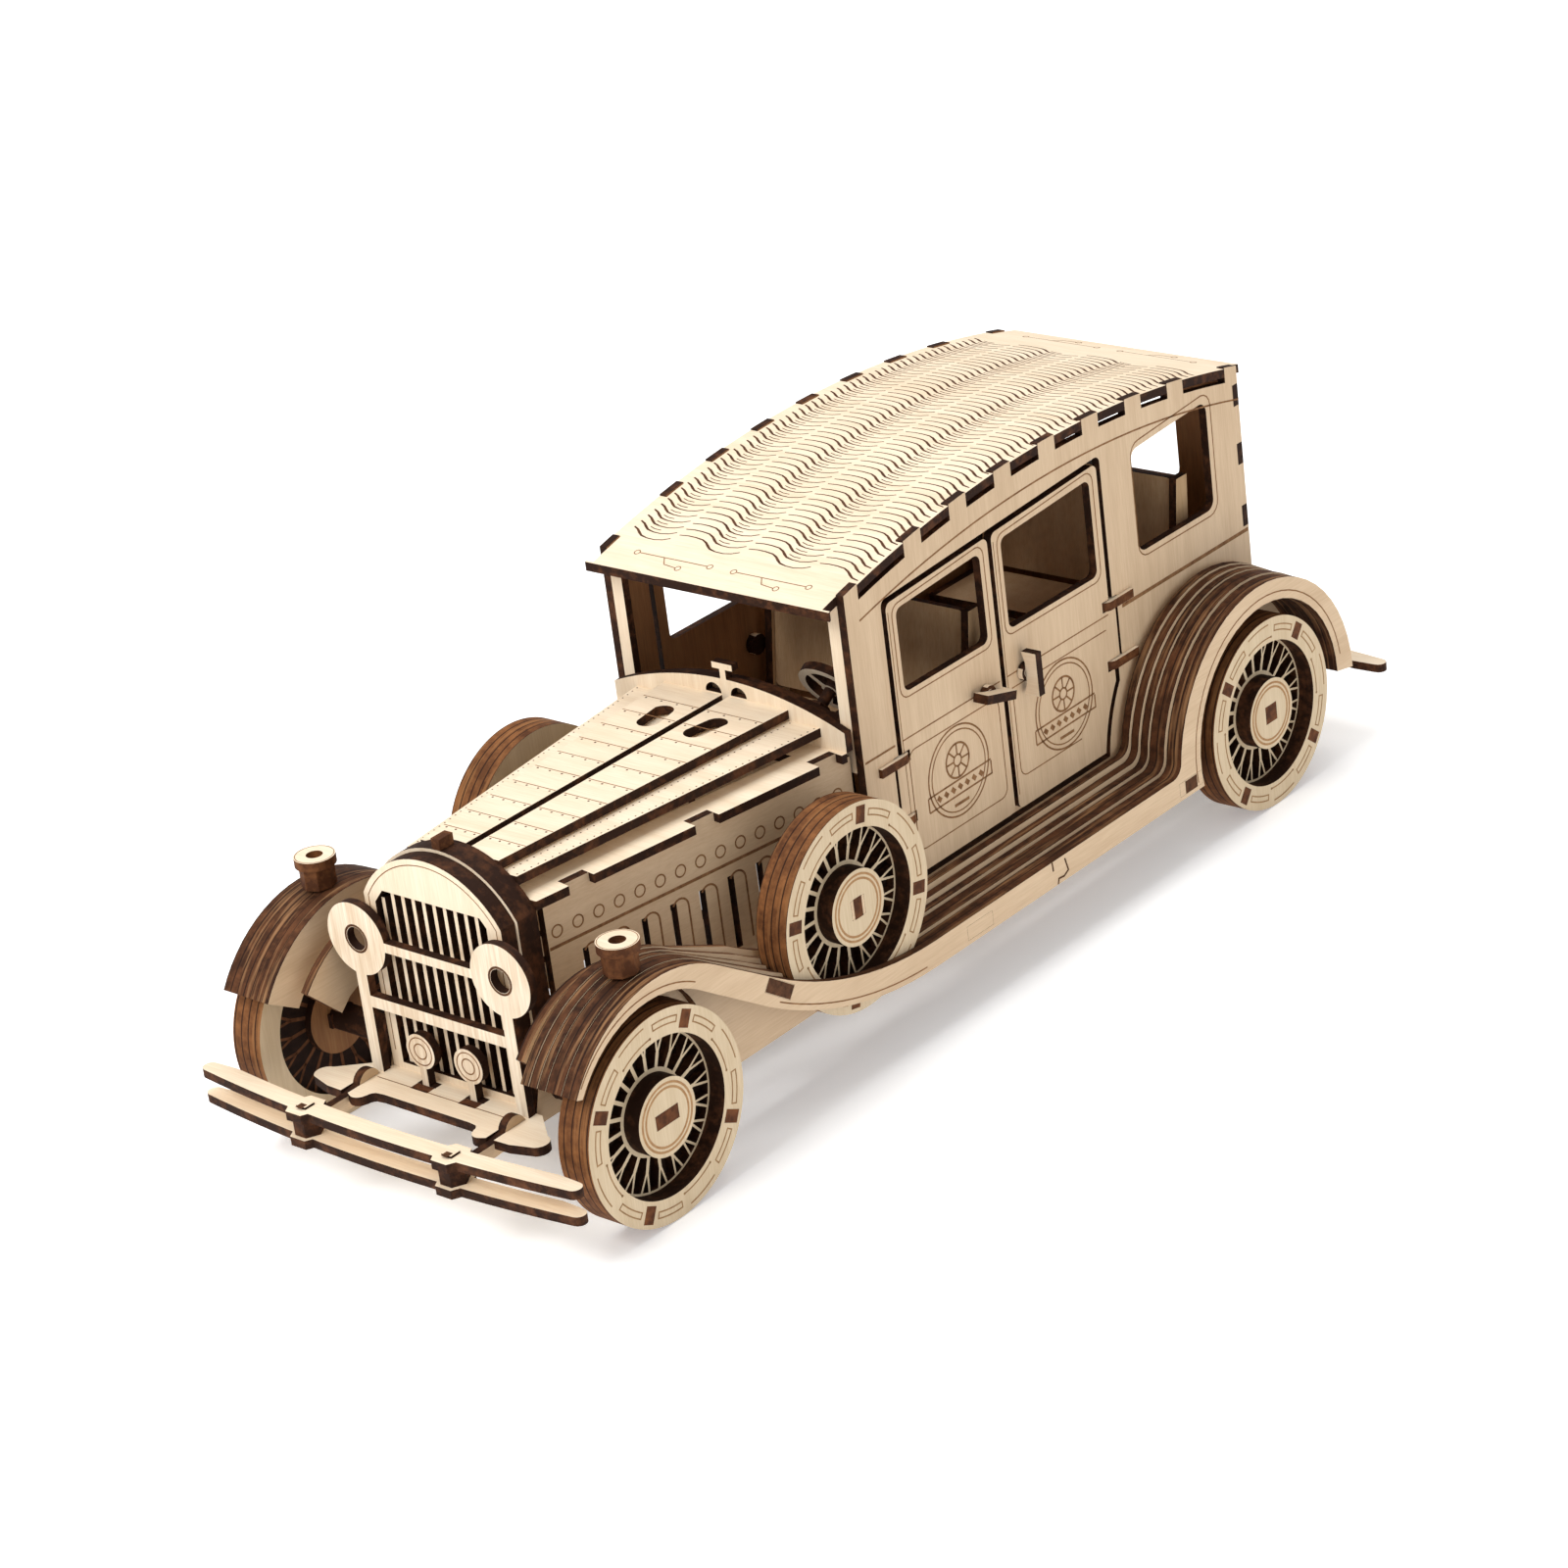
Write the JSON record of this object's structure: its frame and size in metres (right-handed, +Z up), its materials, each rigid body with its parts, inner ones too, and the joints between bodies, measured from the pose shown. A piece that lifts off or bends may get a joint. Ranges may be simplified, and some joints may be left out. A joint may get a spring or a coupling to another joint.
{
  "type": "wooden model car",
  "caption": "Vintage saloon car model built from flat laser-cut plywood sheets, with turning wheels, steering wheel, opening doors and turning door handles.",
  "frame": {"origin": "on the ground under the middle of the car's whole length and width", "axes": "+Z up, +Y towards the rear, +X towards the car's left side"},
  "size_m": [0.1052, 0.2906, 0.1048],
  "materials": {
    "birch": "bare laser-cut birch plywood, matt",
    "burnt_birch": "plywood seen mostly on its laser-burnt edges",
    "burnt_stack": "stacked plywood rings with burnt treads",
    "fender_stack": "stepped plywood sheets with burnt edges",
    "cabin_birch": "bare plywood in the shade of the cabin"
  },
  "bodies": {
    "car": {"tyre_spare_left": "burnt_stack", "tyre_spare_right": "burnt_stack", "spoke_discs_spare": "birch", "hubs_spare": "birch", "spare_brackets": "birch", "frame_rails": "birch", "cross_members": "birch", "floor": "birch", "front_apron": "birch", "rear_apron": "birch", "rear_deck": "birch", "side_wall_left": "birch", "side_wall_right": "birch", "rear_wall": "birch", "windshield_frame": "birch", "cowl": "birch", "roof": "birch", "sun_visors": "cabin_birch", "hinge_plates": "burnt_birch", "dashboard": "cabin_birch", "seat_sides": "cabin_birch", "seat_cushions": "cabin_birch", "front_seat_backs": "cabin_birch", "rear_seat_back": "cabin_birch", "bonnet_top": "birch", "bonnet_steps": "birch", "bonnet_ledges": "birch", "bonnet_side_left": "birch", "bonnet_side_right": "birch", "bonnet_ribs": "birch", "radiator_shell": "birch", "grille_plate": "birch", "grille_slats": "birch", "radiator_cap": "burnt_birch", "lamp_bracket": "birch", "fog_lamps": "birch", "fender_lamps": "burnt_birch", "bumpers": "birch", "fender_sheets": "fender_stack", "outer_panels": "birch"},
    "front_wheels": {"tyre_front_left": "burnt_stack", "tyre_front_right": "burnt_stack", "spoke_discs_front": "birch", "hubs_front": "birch", "axle_front": "burnt_birch"},
    "rear_wheels": {"tyre_rear_left": "burnt_stack", "tyre_rear_right": "burnt_stack", "spoke_discs_rear": "birch", "hubs_rear": "birch", "axle_rear": "burnt_birch"},
    "steering": {"steering_column": "cabin_birch", "steering_wheel": "cabin_birch"},
    "front_left_door": {"door_front_left": "birch"},
    "front_left_handle": {"handle_front_left": "burnt_birch"},
    "front_right_door": {"door_front_right": "birch"},
    "front_right_handle": {"handle_front_right": "burnt_birch"},
    "rear_left_door": {"door_rear_left": "birch"},
    "rear_left_handle": {"handle_rear_left": "burnt_birch"},
    "rear_right_door": {"door_rear_right": "birch"},
    "rear_right_handle": {"handle_rear_right": "burnt_birch"}
  },
  "joints": [
    {"name": "front_wheels_roll", "type": "hinge", "parent": "car", "child": "front_wheels", "pos_m": [0, -0.11075, 0.0225], "axis": [1, 0, 0], "continuous": true},
    {"name": "rear_wheels_roll", "type": "hinge", "parent": "car", "child": "rear_wheels", "pos_m": [0, 0.09725, 0.0225], "axis": [1, 0, 0], "continuous": true},
    {"name": "steering_turn", "type": "hinge", "parent": "car", "child": "steering", "pos_m": [0.016, -0.01175, 0.0665], "axis": [0, 0.848, 0.5299], "continuous": true},
    {"name": "front_left_door_open", "type": "hinge", "parent": "car", "child": "front_left_door", "pos_m": [0.0327, -0.01135, 0.047], "axis": [0, 0, -1], "range_deg": [0, 65]},
    {"name": "front_left_handle_turn", "type": "hinge", "parent": "front_left_door", "child": "front_left_handle", "pos_m": [0.0327, 0.01725, 0.0572], "axis": [1, 0, 0], "range_deg": [-75, 15]},
    {"name": "rear_left_door_open", "type": "hinge", "parent": "car", "child": "rear_left_door", "pos_m": [0.0327, 0.06245, 0.053], "axis": [0, 0, 1], "range_deg": [0, 65]},
    {"name": "rear_left_handle_turn", "type": "hinge", "parent": "rear_left_door", "child": "rear_left_handle", "pos_m": [0.0327, 0.03065, 0.0572], "axis": [1, 0, 0], "range_deg": [0, 90]},
    {"name": "front_right_door_open", "type": "hinge", "parent": "car", "child": "front_right_door", "pos_m": [-0.0327, -0.01135, 0.047], "axis": [0, 0, 1], "range_deg": [0, 65]},
    {"name": "front_right_handle_turn", "type": "hinge", "parent": "front_right_door", "child": "front_right_handle", "pos_m": [-0.0327, 0.01725, 0.0572], "axis": [1, 0, 0], "range_deg": [-75, 15]},
    {"name": "rear_right_door_open", "type": "hinge", "parent": "car", "child": "rear_right_door", "pos_m": [-0.0327, 0.06245, 0.053], "axis": [0, 0, -1], "range_deg": [0, 65]},
    {"name": "rear_right_handle_turn", "type": "hinge", "parent": "rear_right_door", "child": "rear_right_handle", "pos_m": [-0.0327, 0.03065, 0.0572], "axis": [1, 0, 0], "range_deg": [0, 90]}
  ]
}
